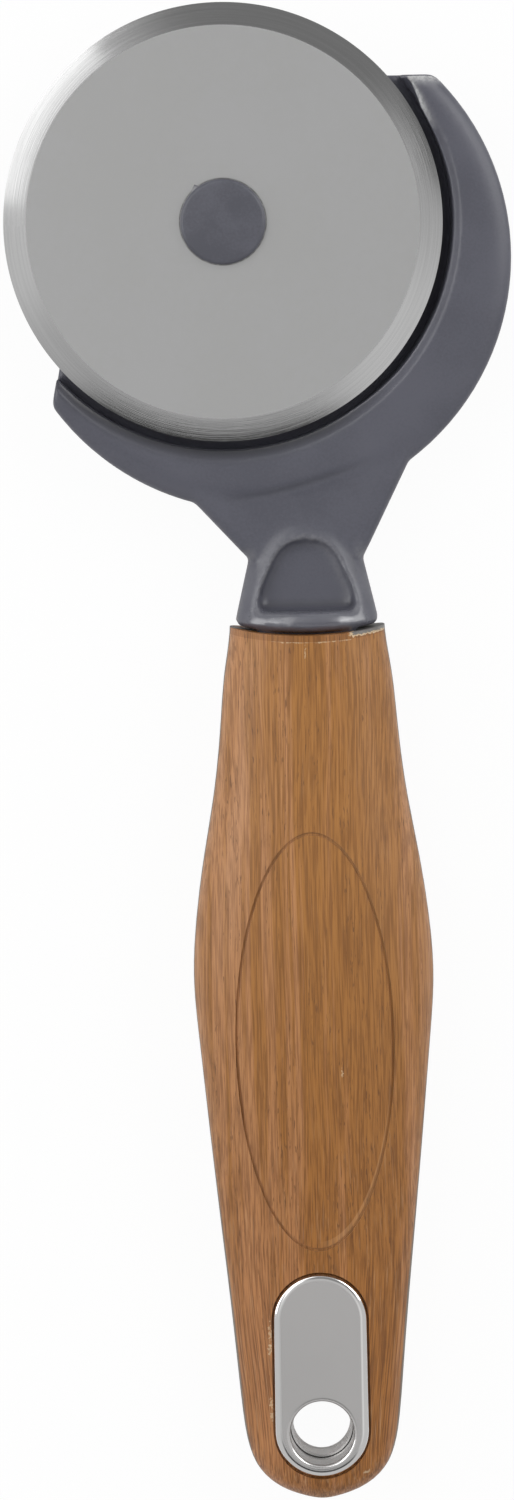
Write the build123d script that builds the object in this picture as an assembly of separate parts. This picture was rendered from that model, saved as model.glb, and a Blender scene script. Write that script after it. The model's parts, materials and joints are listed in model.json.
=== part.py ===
from build123d import *
from math import copysign, cos, pi, sin
import os

# A hand-held pizza cutter that lies on its back, in millimetres. +Y runs along the handle from its
# hanging end to the wheel, +X runs to the right as the front is seen, and +Z points out of the front.
# While it is drawn, X = 0 is the handle's centre line, Y = 0 its hanging end and Z = 0 the table.

# Wheel
blade_diameter = 63.5
blade_thickness = 1.0
bevel_width = 3.3
edge_thickness = 0.15
wheel_across = -11.05         # the axle stands left of the handle's centre line
blade_beyond_handle = 26.5     # from the handle's shoulders to the nearest point of the cutting edge

# Hub and axle
hub_diameter = 12.4
hub_cap_height = 2.0
hub_cap_rounding = 0.5
bush_flange_height = 2.2
spigot_diameter = 9.0
spigot_above_blade = 0.7
axle_diameter = 4.0
axle_running_clearance = 0.05
wheel_play = 0.2
screw_head_diameter = 6.0
screw_head_height = 1.1
screw_head_room = 0.6
screw_slot_width = 0.9
screw_slot_depth = 0.5
thread_diameter = 3.0
washer_clearance = 0.1
front_washer_diameter = 6.4
front_washer_thickness = 0.4
rear_washer_diameter = 9.0
rear_washer_thickness = 0.5
nut_across_flats = 5.5
nut_height = 2.4
nut_clearance = 0.1
rear_cap_diameter = 11.0
rear_cap_height = 1.0
rear_cap_setback = 0.2

# Head moulding
boss_diameter = 17.0
boss_depth = 2.4              # how far the boss stands out behind the back plate
boss_rounding = 0.6
plate_thickness = 2.6
pad_height = 0.4              # raised seat of the rear washer
pad_diameter = 10.0
guard_thickness = 9.6
guard_rim = 3.6               # the guard's outer circle is this much larger than its lip's
guard_shift_across = 4.9      # from the axle to the centre of the guard's outer circle
guard_shift_along = -5.2
guard_front_rounding = 1.6
guard_front_rounding_width = 4.5
guard_rear_rounding = 1.5
lip_clearance = 1.25          # from the cutting edge to the lip
lip_chamfer = 1.2
upper_tip_corner = 2.6
lower_tip_lean = 0.18         # sideways run of that edge for each unit of its height
lower_tip_corner = 1.8
arm_corner_rounding = 2.4

# Web, collar and tang
web_setback = 0.3             # the web's face lies behind the lip's
web_rounding = 1.2
web_left_reach = 15.75
web_left_rise = 8.0
web_right_reach = 15.0
web_right_rise = 13.4
neck_width = 16.7
neck_beyond_handle = 9.65
collar_width = 21.7
collar_thickness = 14.0
collar_length = 15.4
collar_tip_width = 14.0
collar_tip_thickness = 8.5
collar_foot_rounding = 0.9
joint_radius = 58.0           # the collar's foot and the handle's top are both curved
joint_gap = 0.6
joint_sag = 1.2               # how far the handle's top dips at its middle
recess_width = 13.6
recess_length = 9.4
recess_foot = 3.4             # above the lowest point of the collar
recess_sink = 0.5             # its floor lies behind the web's face
root_width = 14.0
root_thickness = 9.0
tang_width = 9.6
tang_thickness = 7.2
tang_length = 42.0
tang_clearance = 0.15
tang_rounding = 0.8

# Handle
handle_length = 125.5         # to the shoulders beside the collar
handle_width = 34.5
handle_thickness = 20.1
rest_flat_depth = 0.3         # the back is flat where it lies on the table
handle_wall = 2.2
cavity_start = 37.0
spine_thickness = 1.6
end_flange = 0.9
sleeve_wall = 1.2
sleeve_rounding = 1.4
dowel_diameter = 3.0
dowel_proud = 0.5             # past the sleeve at each end
dowel_spacing = 20.0
dowel_edge = 9.0
oval_groove_length = 60.3
oval_groove_width = 22.8
oval_groove_along = 66.25
groove_line = 0.45
groove_depth = 0.3

# Hanging plates
plate_length = 29.3
plate_width = 13.5
plate_along = 18.1
steel_thickness = 0.8
steel_bevel = 0.75
steel_bevel_drop = 0.35
steel_setback = 0.3           # below the crown of the handle's face
steel_gap = 0.25
pad_thickness = 0.2
pad_margin = 1.2
hole_along = 9.8
hole_diameter = 8.3
flare_diameter = 10.0
flare_depth = 0.5
tube_wall = 0.3
tube_nesting_gap = 0.1
tube_overlap = 1.2
tube_step_depth = 5.5         # from the front face to the end of the rear tube
tube_body_gap = 0.2
shell_screw_head = 4.6
shell_screw_head_height = 1.4
shell_screw_diameter = 2.4
shell_screw_clearance = 0.05
shell_screw_rise = 9.4         # from the hole's centre to the first screw
shell_screw_spacing = 8.0
shell_screw_bite = 2.8
overrun = 1.0                 # how far a cutting shape runs past what it cuts

# Handle outline as shares: along the length, half width, half thickness
handle_shares = [
    (0.000, 0.090, 0.270),
    (0.003, 0.188, 0.350),
    (0.010, 0.326, 0.450),
    (0.019, 0.431, 0.525),
    (0.032, 0.523, 0.568),
    (0.052, 0.595, 0.585),
    (0.088, 0.649, 0.587),
    (0.144, 0.690, 0.587),
    (0.216, 0.739, 0.592),
    (0.304, 0.805, 0.680),
    (0.416, 0.888, 0.820),
    (0.528, 0.966, 0.940),
    (0.596, 1.000, 0.990),
    (0.664, 0.971, 1.000),
    (0.736, 0.897, 0.970),
    (0.804, 0.810, 0.920),
    (0.880, 0.744, 0.870),
    (0.950, 0.694, 0.830),
    (1.020, 0.652, 0.800),
]
# The crescent's tips as shares of the lip's radius, from the axle
upper_rise_share = 0.621      # top edge of the upper tip
upper_run_share = 0.576       # where that edge turns in behind the blade
lower_reach_share = 0.703     # side edge of the lower tip
lower_drop_share = 0.473      # where that edge turns in behind the blade
web_sink_share = 1.35         # how far the web's sides run on inside the crescent
recess_mouth_share = 1.13     # size of the thumb recess at its mouth against its floor
recess_base_share = 0.93
# Thumb recess outline, right half from the crown down, as shares of its half width and its length
recess_shares = [(0.00, 1.00), (0.30, 0.965), (0.56, 0.86), (0.76, 0.60), (0.92, 0.30), (1.00, 0.08)]
fullness = 2.5                # exponent of the flat ovals: 2 is an ellipse, more is squarer
oval_points = 24

# Levels above the table
middle = handle_thickness / 2 - rest_flat_depth
plate_back = boss_depth
plate_front = plate_back + plate_thickness
lip_front = plate_back + guard_thickness
web_front = lip_front - web_setback
washer_seat = plate_front + pad_height
bush_back = washer_seat + rear_washer_thickness + wheel_play
blade_back = bush_back + bush_flange_height
blade_front = blade_back + blade_thickness
spigot_top = blade_front + spigot_above_blade
cap_front = blade_front + hub_cap_height
head_top = spigot_top - wheel_play * 2
head_under = head_top - screw_head_height
counterbore_floor = head_under - front_washer_thickness - wheel_play
nut_floor = rear_cap_setback + rear_cap_height
face_half = handle_thickness / 2 * handle_shares[7][2]
steel_front = middle + face_half - steel_setback
pocket_floor = steel_front - steel_thickness - pad_thickness
flipped_floor = 2 * middle - pocket_floor

# Places across and along
blade_radius = blade_diameter / 2
wheel_along = handle_length + blade_beyond_handle + blade_radius
neck_along = handle_length + neck_beyond_handle
guard_across = wheel_across + guard_shift_across
guard_along = wheel_along + guard_shift_along
lip_radius = blade_radius + lip_clearance
guard_radius = lip_radius + guard_rim
joint_foot = handle_length - joint_sag
collar_foot = joint_foot + joint_gap
joint_centre = collar_foot + joint_radius
flange_radius = joint_radius + joint_gap + end_flange
tang_end = joint_foot - tang_length
hole_clear_radius = hole_diameter / 2 + tube_wall * 2 + tube_nesting_gap + tube_body_gap
shift = Pos(
    -(wheel_across - blade_radius + guard_across + guard_radius) / 2,
    -(wheel_along + blade_radius) / 2,
    0,
)


def save(piece, name):
    """Moves a piece into the frame that is centred on the cutter and writes it."""
    export_step(shift * piece, f"parts/{name}.step")


def disc(across, along, low, high, radius):
    return Pos(across, along, (low + high) / 2) * Cylinder(radius, high - low)


def slab(width, length, low, high, along):
    """Block centred on the handle's line, from one height to another."""
    return Pos(0, along, (low + high) / 2) * Box(width, length, high - low)


def flat_oval(half_width, half_thickness, along, height):
    """Face that stands across the handle: a circle drawn flat, with fuller shoulders."""
    points = []
    for step in range(oval_points):
        angle = 2 * pi * step / oval_points
        x = half_width * copysign(abs(cos(angle)) ** (2 / fullness), cos(angle))
        z = half_thickness * copysign(abs(sin(angle)) ** (2 / fullness), sin(angle))
        points.append((x, along, height + z))
    return make_face(Spline(*points, periodic=True))


def handle_size(share):
    """Half width and half thickness of the handle at a share of its length."""
    for (low, width_a, thick_a), (high, width_b, thick_b) in zip(handle_shares, handle_shares[1:]):
        if low <= share <= high:
            part = (share - low) / (high - low)
            width = width_a + (width_b - width_a) * part
            thick = thick_a + (thick_b - thick_a) * part
            return width * handle_width / 2, thick * handle_thickness / 2


def handle_form(inset, start_share, end_share):
    """The handle's body, or what is left of it inside a wall, between two shares of its length."""
    inner = [row[0] for row in handle_shares if start_share < row[0] < end_share]
    faces = []
    for share in [start_share, *inner, end_share]:
        half_width, half_thickness = handle_size(share)
        faces.append(flat_oval(half_width - inset, half_thickness - inset, share * handle_length, middle))
    return loft(faces)


# Blade: a disc whose rim is ground on both sides to a thin edge
def make_blade():
    half = blade_thickness / 2
    land = blade_radius - bevel_width
    profile = Polyline(
        (spigot_diameter / 2, -half),
        (land, -half),
        (blade_radius, -edge_thickness / 2),
        (blade_radius, edge_thickness / 2),
        (land, half),
        (spigot_diameter / 2, half),
        close=True,
    )
    turned = revolve(make_face(Plane.XZ * profile), Axis.Z)
    return Pos(wheel_across, wheel_along, blade_back + half) * turned


# Hub: cap in front of the blade, bush behind and through it
def make_hub_cap():
    cap = disc(wheel_across, wheel_along, blade_front, cap_front, hub_diameter / 2)
    cap = fillet(cap.edges().group_by(Axis.Z)[-1], hub_cap_rounding)
    return cap - disc(wheel_across, wheel_along, blade_front, spigot_top, spigot_diameter / 2)


def make_hub_bush():
    bush = disc(wheel_across, wheel_along, bush_back, blade_back, hub_diameter / 2)
    bush += disc(wheel_across, wheel_along, blade_back, spigot_top, spigot_diameter / 2)
    bore = axle_diameter / 2 + axle_running_clearance
    head_room = (screw_head_diameter + screw_head_room * 2) / 2
    bush -= disc(wheel_across, wheel_along, bush_back, counterbore_floor, bore)
    return bush - disc(wheel_across, wheel_along, counterbore_floor, spigot_top, head_room)


# Axle: shoulder screw, its washers, its nut and the plug over the nut
def make_axle_screw():
    axle = disc(wheel_across, wheel_along, washer_seat, head_under, axle_diameter / 2)
    axle += disc(wheel_across, wheel_along, head_under, head_top, screw_head_diameter / 2)
    axle += disc(wheel_across, wheel_along, nut_floor, washer_seat, thread_diameter / 2)
    slot = Box(screw_head_diameter + overrun, screw_slot_width, screw_slot_depth)
    return axle - Pos(wheel_across, wheel_along, head_top - screw_slot_depth / 2) * slot


def make_washer(diameter, low, thickness):
    ring = disc(wheel_across, wheel_along, low, low + thickness, diameter / 2)
    return ring - disc(wheel_across, wheel_along, low, low + thickness, axle_diameter / 2 + washer_clearance)


def hexagon(across_flats, low, high):
    outline = RegularPolygon(across_flats / 2, 6, major_radius=False)
    return Pos(wheel_across, wheel_along, low) * extrude(outline, high - low)


def make_axle_nut():
    nut = hexagon(nut_across_flats, nut_floor, nut_floor + nut_height)
    return nut - disc(wheel_across, wheel_along, nut_floor, nut_floor + nut_height, thread_diameter / 2)


def make_rear_hub_cap():
    return disc(wheel_across, wheel_along, rear_cap_setback, nut_floor, rear_cap_diameter / 2)


# Head: back plate, guard lip, web, collar and tang in one moulding
def corner(face, across, along):
    return face.vertices().sort_by_distance((across, along, 0))[0]


def head_outline():
    """Front view of the crescent and the arm behind the blade."""
    top = wheel_along + lip_radius * upper_rise_share
    side = wheel_across - lip_radius * lower_reach_share
    low = wheel_along - lip_radius * lower_drop_share
    boss = boss_diameter / 2
    far = guard_radius * 2
    inner_corners = [
        (wheel_across + lip_radius * upper_run_share, top),
        (wheel_across + boss / 2, wheel_along + boss),
        (wheel_across - boss, wheel_along + boss / 2),
        (side, low),
    ]
    cut = Polyline(
        (guard_across + far, top),
        *inner_corners,
        (side - lower_tip_lean * far, low - far),
        (guard_across + far, low - far),
        close=True,
    )
    face = Pos(guard_across, guard_along) * Circle(guard_radius) & make_face(cut)
    upper_run = (guard_radius**2 - (top - guard_along) ** 2) ** 0.5
    face = fillet(corner(face, guard_across + upper_run, top), upper_tip_corner)
    face = fillet(corner(face, side, low - guard_radius / 3), lower_tip_corner)
    for across, along in inner_corners:
        face = fillet(corner(face, across, along), arm_corner_rounding)
    return face


def make_guard():
    """Crescent lip standing on its back plate, with a round outer rim."""
    front_width = guard_front_rounding_width
    front_height = guard_front_rounding
    back = guard_rear_rounding
    rim = Polyline(
        (guard_radius - front_width, lip_front),
        (0, lip_front),
        (0, plate_back),
        (guard_radius - back, plate_back),
    )
    rim += CenterArc((guard_radius - back, plate_back + back), back, -90, 90)
    rim += Line((guard_radius, plate_back + back), (guard_radius, lip_front - front_height))
    rim += EllipticalCenterArc(
        (guard_radius - front_width, lip_front - front_height),
        front_width,
        front_height,
        start_angle=0,
        arc_size=90,
    )
    turned = revolve(make_face(Plane.XZ * rim), Axis.Z)
    guard = Pos(guard_across, guard_along, 0) * turned
    guard &= extrude(head_outline(), lip_front + overrun)
    guard -= disc(wheel_across, wheel_along, plate_front, lip_front + overrun, lip_radius)
    mouth = Cone(lip_radius, lip_radius + lip_chamfer, lip_chamfer)
    return guard - Pos(wheel_across, wheel_along, lip_front - lip_chamfer / 2) * mouth


def make_web():
    """Tapering neck between the crescent and the collar, sunk into the crescent's rim."""
    half = neck_width / 2
    left = web_left_reach - half
    right = web_right_reach - half
    outline = Polyline(
        (-half, neck_along),
        (half, neck_along),
        (half + right * web_sink_share, neck_along + web_right_rise * web_sink_share),
        (-half - left * web_sink_share, neck_along + web_left_rise * web_sink_share),
        close=True,
    )
    web = Pos(0, 0, plate_back) * extrude(make_face(outline), web_front - plate_back)
    flat = web.edges().filter_by(GeomType.LINE)
    sides = [
        edge
        for edge in flat
        if abs(edge.tangent_at(0).Z) < 0.5
        and abs(edge.tangent_at(0).Y) > 0.5
    ]
    return fillet(sides, web_rounding)


def make_collar():
    """Oval collar that swells from the web towards the handle."""
    tip_half = collar_tip_thickness / 2
    foot = flat_oval(collar_width / 2, collar_thickness / 2, collar_foot - overrun, middle)
    tip = flat_oval(collar_tip_width / 2, tip_half, collar_foot + collar_length, web_front - tip_half)
    collar = loft([foot, tip])
    collar &= disc(0, joint_centre, 0, handle_thickness, joint_radius)
    return fillet(collar.edges().sort_by(Axis.Y)[0], collar_foot_rounding)


def recess_outline(scale, height):
    half = recess_width / 2 * scale
    length = recess_length * scale
    foot = collar_foot + recess_foot - (length - recess_length) / 2
    right = [(x * half, foot + y * length) for x, y in recess_shares]
    left = [(-x, y) for x, y in reversed(right)]
    base = recess_base_share * half
    arch = Spline(*left, *right[1:])
    sill = Polyline(right[-1], (base, foot), (-base, foot), left[0])
    return Pos(0, 0, height) * make_face(arch + sill)


def thumb_recess():
    floor = web_front - recess_sink
    mouth = middle + collar_thickness / 2 + overrun
    return loft([recess_outline(1, floor), recess_outline(recess_mouth_share, mouth)])


def make_tang():
    """Root that fills the handle's flange, and the tang below it with its dowel holes."""
    root_low = joint_foot - end_flange
    root = slab(root_width, collar_foot + overrun - root_low, middle - root_thickness / 2,
                middle + root_thickness / 2, (collar_foot + overrun + root_low) / 2)
    root = fillet(root.edges().filter_by(Axis.Y), tang_rounding)
    tang = slab(tang_width, root_low - tang_end, middle - tang_thickness / 2,
                middle + tang_thickness / 2, (root_low + tang_end) / 2)
    tang = fillet(tang.edges().filter_by(Axis.Y), tang_rounding)
    return root + tang - dowels(dowel_diameter)


def make_head_frame():
    boss = disc(wheel_across, wheel_along, 0, plate_back, boss_diameter / 2)
    boss = fillet(boss.edges().group_by(Axis.Z)[0], boss_rounding)
    seat = disc(wheel_across, wheel_along, plate_front, washer_seat, pad_diameter / 2)
    neck = make_web() + make_collar() - thumb_recess()
    head = make_guard() + boss + seat + neck + make_tang()
    plug = (rear_cap_diameter + nut_clearance) / 2
    head -= disc(wheel_across, wheel_along, 0, nut_floor, plug)
    head -= hexagon(nut_across_flats + nut_clearance * 2, nut_floor, nut_floor + nut_height)
    return head - disc(wheel_across, wheel_along, nut_floor, washer_seat, thread_diameter / 2)


# Handle: two shells round a spine, closed by the spine's flange under the collar
def dowels(diameter):
    """Two pins across the tang and the sleeve, clear of the shells."""
    half = tang_thickness / 2 + tang_clearance + sleeve_wall + dowel_proud
    first = joint_foot - dowel_edge
    pins = [disc(0, along, middle - half, middle + half, diameter / 2) for along in
            (first, first - dowel_spacing)]
    return pins[0] + pins[1]


def make_handle_body():
    """Whole outer form, cut flat where it rests and hollow at its top for the collar's foot."""
    body = handle_form(0, handle_shares[0][0], handle_shares[-1][0])
    body -= slab(handle_width * 2, handle_length * 2, -handle_thickness, 0, handle_length / 2)
    return body - disc(0, joint_centre, -overrun, handle_thickness + overrun, joint_radius + joint_gap)


def below_flange(body):
    return body - disc(0, joint_centre, -overrun, handle_thickness + overrun, flange_radius)


def plate_shape(margin, low, high):
    """Round-ended shape on the hanging plate's centre, larger than the plate by a margin."""
    outline = SlotOverall(plate_length + margin * 2, plate_width + margin * 2, rotation=90)
    return Pos(0, plate_along, low) * extrude(outline, high - low)


def flip(piece):
    """Turns a piece of the front into its partner on the back."""
    return mirror(piece, Plane.XY.offset(middle))


def make_groove():
    """Thin oval line, as deep everywhere as the groove is."""
    half_length = oval_groove_length / 2
    half_width = oval_groove_width / 2
    ring = Ellipse(half_width, half_length) - Ellipse(half_width - groove_line, half_length - groove_line)
    prism = Pos(0, oval_groove_along, middle) * extrude(ring, handle_thickness)
    margin = oval_groove_length / 2 + overrun
    start = (oval_groove_along - margin) / handle_length
    end = (oval_groove_along + margin) / handle_length
    return prism - handle_form(groove_depth, start, end)


def make_shell(body):
    """Front half of the handle's wall, without what only the front or the back has."""
    seam = middle + spine_thickness / 2
    shell = below_flange(body) & slab(handle_width * 2, handle_length * 2, seam, handle_thickness * 2, 0)
    shell -= handle_form(handle_wall, cavity_start / handle_length, handle_shares[-1][0])
    shell -= plate_shape(steel_gap, pocket_floor, handle_thickness * 2)
    return shell - disc(0, hole_along, 0, handle_thickness, hole_clear_radius)


def make_front_shell(body):
    return make_shell(body) - make_groove() - screw_shanks(shell_screw_clearance)


def make_rear_shell(body):
    shell = flip(make_shell(flip(body)))
    return shell - screw_shanks(shell_screw_clearance) - screw_heads(shell_screw_clearance)


def make_spine(body):
    """Seam plate of the handle, with the sleeve for the tang and the flange at its top."""
    plate = below_flange(body) & slab(
        handle_width * 2,
        handle_length * 2,
        middle - spine_thickness / 2,
        middle + spine_thickness / 2,
        0,
    )
    hollow_width = tang_width + tang_clearance * 2
    hollow_thickness = tang_thickness + tang_clearance * 2
    top = joint_foot - end_flange
    low = tang_end - tang_clearance
    sleeve = slab(
        hollow_width + sleeve_wall * 2,
        top - low + sleeve_wall,
        middle - hollow_thickness / 2 - sleeve_wall,
        middle + hollow_thickness / 2 + sleeve_wall,
        (top + low - sleeve_wall) / 2,
    )
    sleeve = fillet(sleeve.edges().filter_by(Axis.Y), sleeve_rounding)
    spine = plate + sleeve
    spine -= slab(hollow_width, top - low + overrun, middle - hollow_thickness / 2,
                  middle + hollow_thickness / 2, (top + low + overrun) / 2)
    spine += body & disc(0, joint_centre, 0, handle_thickness, flange_radius)
    half_root = root_thickness / 2 + tang_clearance
    spine -= slab(root_width + tang_clearance * 2, handle_length, middle - half_root, middle + half_root,
                  top + handle_length / 2)
    spine -= dowels(dowel_diameter) + screw_shanks(shell_screw_clearance)
    return spine - disc(0, hole_along, 0, handle_thickness, hole_clear_radius)


# Screws that close the shells, under the rear plate
def screw_places():
    first = hole_along + shell_screw_rise
    return first, first + shell_screw_spacing


def screw_heads(margin):
    low = flipped_floor
    high = flipped_floor + shell_screw_head_height
    first, second = [disc(0, along, low, high, shell_screw_head / 2 + margin) for along in screw_places()]
    return first + second


def screw_shanks(margin):
    low = flipped_floor + shell_screw_head_height
    high = middle + spine_thickness / 2 + shell_screw_bite + margin
    radius = shell_screw_diameter / 2 + margin
    first, second = [disc(0, along, low, high, radius) for along in screw_places()]
    return first + second


# Hanging plates: pressed steel with a bevelled rim, a flared hole and a short tube
def make_hang_plate(inner_radius, tube_low):
    """Front plate, whose tube runs back to a given height."""
    shoulder = steel_front - steel_bevel_drop
    plate = plate_shape(0, steel_front - steel_thickness, shoulder)
    faces = [
        Pos(0, plate_along, height) * SlotOverall(plate_length - cut * 2, plate_width - cut * 2, rotation=90)
        for height, cut in ((shoulder, 0), (steel_front, steel_bevel))
    ]
    plate += loft(faces)
    plate += disc(0, hole_along, tube_low, steel_front - steel_thickness, inner_radius + tube_wall)
    plate -= disc(0, hole_along, tube_low, steel_front, inner_radius)
    flare = Cone(inner_radius, flare_diameter / 2, flare_depth)
    return plate - Pos(0, hole_along, steel_front - flare_depth / 2) * flare


def make_plate_pad():
    pad = plate_shape(-pad_margin, pocket_floor, pocket_floor + pad_thickness)
    return pad - disc(0, hole_along, 0, handle_thickness, hole_clear_radius)


os.makedirs("parts", exist_ok=True)
body = make_handle_body()
hole_radius = hole_diameter / 2
outer_tube = hole_radius + tube_wall + tube_nesting_gap
step = steel_front - tube_step_depth
save(make_head_frame(), "head_frame")
save(make_blade(), "blade")
save(make_hub_cap(), "hub_cap")
save(make_hub_bush(), "hub_bush")
save(make_axle_screw(), "axle_screw")
save(make_washer(front_washer_diameter, head_under - front_washer_thickness, front_washer_thickness),
     "front_washer")
save(make_washer(rear_washer_diameter, washer_seat, rear_washer_thickness), "rear_washer")
save(make_axle_nut(), "axle_nut")
save(make_rear_hub_cap(), "rear_hub_cap")
save(make_spine(body), "handle_spine")
save(make_front_shell(body), "handle_front_shell")
save(make_rear_shell(body), "handle_rear_shell")
save(dowels(dowel_diameter), "tang_dowels")
save(screw_heads(0) + screw_shanks(0), "shell_screws")
save(make_hang_plate(outer_tube, step - tube_overlap), "hang_plate_front")
save(flip(make_hang_plate(hole_radius, 2 * middle - step)), "hang_plate_rear")
save(make_plate_pad(), "front_plate_pad")
save(flip(make_plate_pad()), "rear_plate_pad")
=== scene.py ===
import bmesh
import bpy
import json
import math
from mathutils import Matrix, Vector


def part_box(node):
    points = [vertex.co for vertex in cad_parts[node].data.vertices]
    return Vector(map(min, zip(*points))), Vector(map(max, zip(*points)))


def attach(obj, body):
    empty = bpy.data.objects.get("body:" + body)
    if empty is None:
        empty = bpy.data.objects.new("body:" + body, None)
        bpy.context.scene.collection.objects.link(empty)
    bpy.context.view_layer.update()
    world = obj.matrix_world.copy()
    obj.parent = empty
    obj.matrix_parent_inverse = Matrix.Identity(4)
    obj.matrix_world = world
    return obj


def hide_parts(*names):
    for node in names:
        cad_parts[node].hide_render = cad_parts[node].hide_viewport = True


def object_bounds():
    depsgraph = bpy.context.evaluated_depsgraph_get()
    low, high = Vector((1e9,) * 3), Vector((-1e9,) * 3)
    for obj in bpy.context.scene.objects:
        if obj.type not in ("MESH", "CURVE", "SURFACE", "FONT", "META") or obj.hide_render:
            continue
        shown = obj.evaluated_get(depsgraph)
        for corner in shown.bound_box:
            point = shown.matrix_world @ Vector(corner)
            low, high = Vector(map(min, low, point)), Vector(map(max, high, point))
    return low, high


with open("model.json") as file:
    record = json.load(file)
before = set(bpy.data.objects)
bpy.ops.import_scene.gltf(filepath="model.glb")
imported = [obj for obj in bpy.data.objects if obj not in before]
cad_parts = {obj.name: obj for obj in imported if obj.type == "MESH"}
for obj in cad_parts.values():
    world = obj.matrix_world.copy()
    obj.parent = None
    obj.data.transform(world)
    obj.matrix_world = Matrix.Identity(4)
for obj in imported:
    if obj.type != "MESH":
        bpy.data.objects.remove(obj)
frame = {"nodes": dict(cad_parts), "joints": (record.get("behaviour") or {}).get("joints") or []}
cad_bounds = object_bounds()

# The photograph's viewpoint. The cutter lies on its back and is seen square on from above, by a
# camera that stands over the wheel and is turned by about a degree, with its frame shifted down to
# the handle's end.
photo_height = 1500
camera_place = (0.00003, 0.0747, 0.860)
camera_turn = math.radians(-1.07)
reference_height = 0.009
metres_per_pixel = 0.0001444
frame_drop = 520                 # pixels from the point under the camera down to the frame's centre
camera = bpy.data.cameras.new("camera")
camera.sensor_fit = "AUTO"
camera.lens = camera.sensor_width * (camera_place[2] - reference_height) / (photo_height * metres_per_pixel)
camera.shift_y = -frame_drop / photo_height
camera.clip_start = 0.01
camera_object = bpy.data.objects.new("camera", camera)
camera_object.location = camera_place
camera_object.rotation_euler = (0, 0, camera_turn)
bpy.context.scene.collection.objects.link(camera_object)
bpy.context.scene.camera = camera_object
bpy.context.scene.view_settings.view_transform = "Standard"


# Studio light. A white tent stands all round and is darker overhead, where the camera is. A strip
# light shines in over the left side, a black flag stands behind the wheel and three windows shine
# in from behind. A large soft box on the right and one on the left light the mouldings' sides.
def add_node(tree, kind, inputs=None, **settings):
    """New node with its settings and inputs; an input is a value or another node's output."""
    made = tree.nodes.new(kind)
    for name, value in settings.items():
        setattr(made, name, value)
    for name, value in (inputs or {}).items():
        if isinstance(value, bpy.types.NodeSocket):
            tree.links.new(value, made.inputs[name])
        else:
            made.inputs[name].default_value = value
    return made


def maths(tree, operation, *values):
    """One Math node on up to three values, and its output."""
    made = add_node(tree, "ShaderNodeMath", operation=operation)
    for index, value in enumerate(values):
        if isinstance(value, bpy.types.NodeSocket):
            tree.links.new(value, made.inputs[index])
        else:
            made.inputs[index].default_value = value
    return made.outputs[0]


def length(tree, first, second):
    """Length of the line whose two legs are given."""
    return maths(tree, "SQRT", maths(tree, "ADD", maths(tree, "MULTIPLY", first, first),
                                     maths(tree, "MULTIPLY", second, second)))


def between(tree, share, low, high):
    """Value between two, by a share."""
    made = add_node(tree, "ShaderNodeMix", {"Factor": share, "A": low, "B": high}, data_type="FLOAT")
    return made.outputs["Result"]


def smooth_step(tree, value, low, high, low_value=0.0, high_value=1.0):
    """Value that goes smoothly from low_value to high_value as its input goes from low to high."""
    made = add_node(tree, "ShaderNodeMapRange", {
        "Value": value,
        "From Min": low,
        "From Max": high,
        "To Min": low_value,
        "To Max": high_value,
    }, interpolation_type="SMOOTHSTEP")
    return made.outputs["Result"]


def hump(tree, value, low, high, soft):
    """1 between two values and 0 outside them, with soft ends."""
    rise = smooth_step(tree, value, low - soft, low + soft)
    return maths(tree, "MULTIPLY", rise, smooth_step(tree, value, high - soft, high + soft, 1.0, 0.0))


overhead_level = 0.53
tent_level = 0.57
world = bpy.data.worlds.new("studio")
world.use_nodes = True
bpy.context.scene.world = world
tree = world.node_tree
tree.nodes.clear()
direction = add_node(tree, "ShaderNodeTexCoord").outputs["Generated"]
x, y, z = add_node(tree, "ShaderNodeSeparateXYZ", {"Vector": direction}).outputs
tilt = maths(tree, "ARCTAN2", length(tree, x, y), z)
turn = maths(tree, "ARCTAN2", y, x)
level = smooth_step(tree, tilt, math.radians(8), math.radians(40), overhead_level, tent_level)
# Each patch of the tent: its level, the turn round the zenith and the tilt from it in degrees, and
# how soft its ends and its sides are.
patches = [
    ("strip light", 1.5, (126, 174), (15, 26), 1.5, 4),
    ("left panel", 0.72, (174, 190), (8, 24), 1.5, 4),
    ("black flag", 0.235, (32, 112), (8, 30), 13, 3),
    ("flag corner", 0.14, (8, 36), (17.6, 30), 8, 2.6),
    ("grey card below", 0.46, (-136, -66), (14, 30), 10, 1.8),
    ("dark slot below", 0.05, (-129, -58), (18.0, 30), 8, 1.4),
    ("lower left panel", 0.72, (-190, -156), (8, 24), 10, 4),
    ("lower right panel", 0.72, (-58, -12), (8, 24), 14, 4),
    ("upper window", 1.9, (98, 120), (30, 46), 5, 3),
    ("upper left window", 3.4, (120, 153), (24, 46), 5, 3),
    ("upper right window", 3.2, (30, 57), (34, 54), 5, 3),
]
for name, patch_level, turns, tilts, turn_soft, tilt_soft in patches:
    over_turn = hump(tree, turn, math.radians(turns[0]), math.radians(turns[1]), math.radians(turn_soft))
    over_tilt = hump(tree, tilt, math.radians(tilts[0]), math.radians(tilts[1]), math.radians(tilt_soft))
    over = maths(tree, "MULTIPLY", over_turn, over_tilt)
    level = between(tree, over, level, patch_level)
    level.node.label = name
seen = add_node(tree, "ShaderNodeLightPath").outputs["Is Camera Ray"]
background = add_node(tree, "ShaderNodeBackground", {"Strength": between(tree, seen, level, 1.0)})
background.inputs["Color"].default_value = (1, 1, 1, 1)
add_node(tree, "ShaderNodeOutputWorld", {"Surface": background.outputs[0]})


def soft_box(name, place, aim, size, power):
    """Area lamp at a place, turned to a point."""
    lamp = bpy.data.lights.new(name, "AREA")
    lamp.shape = "RECTANGLE"
    lamp.size, lamp.size_y = size
    lamp.energy = power
    made = bpy.data.objects.new(name, lamp)
    made.location = place
    made.rotation_euler = (Vector(aim) - Vector(place)).to_track_quat("-Z", "Y").to_euler()
    bpy.context.scene.collection.objects.link(made)


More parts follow.
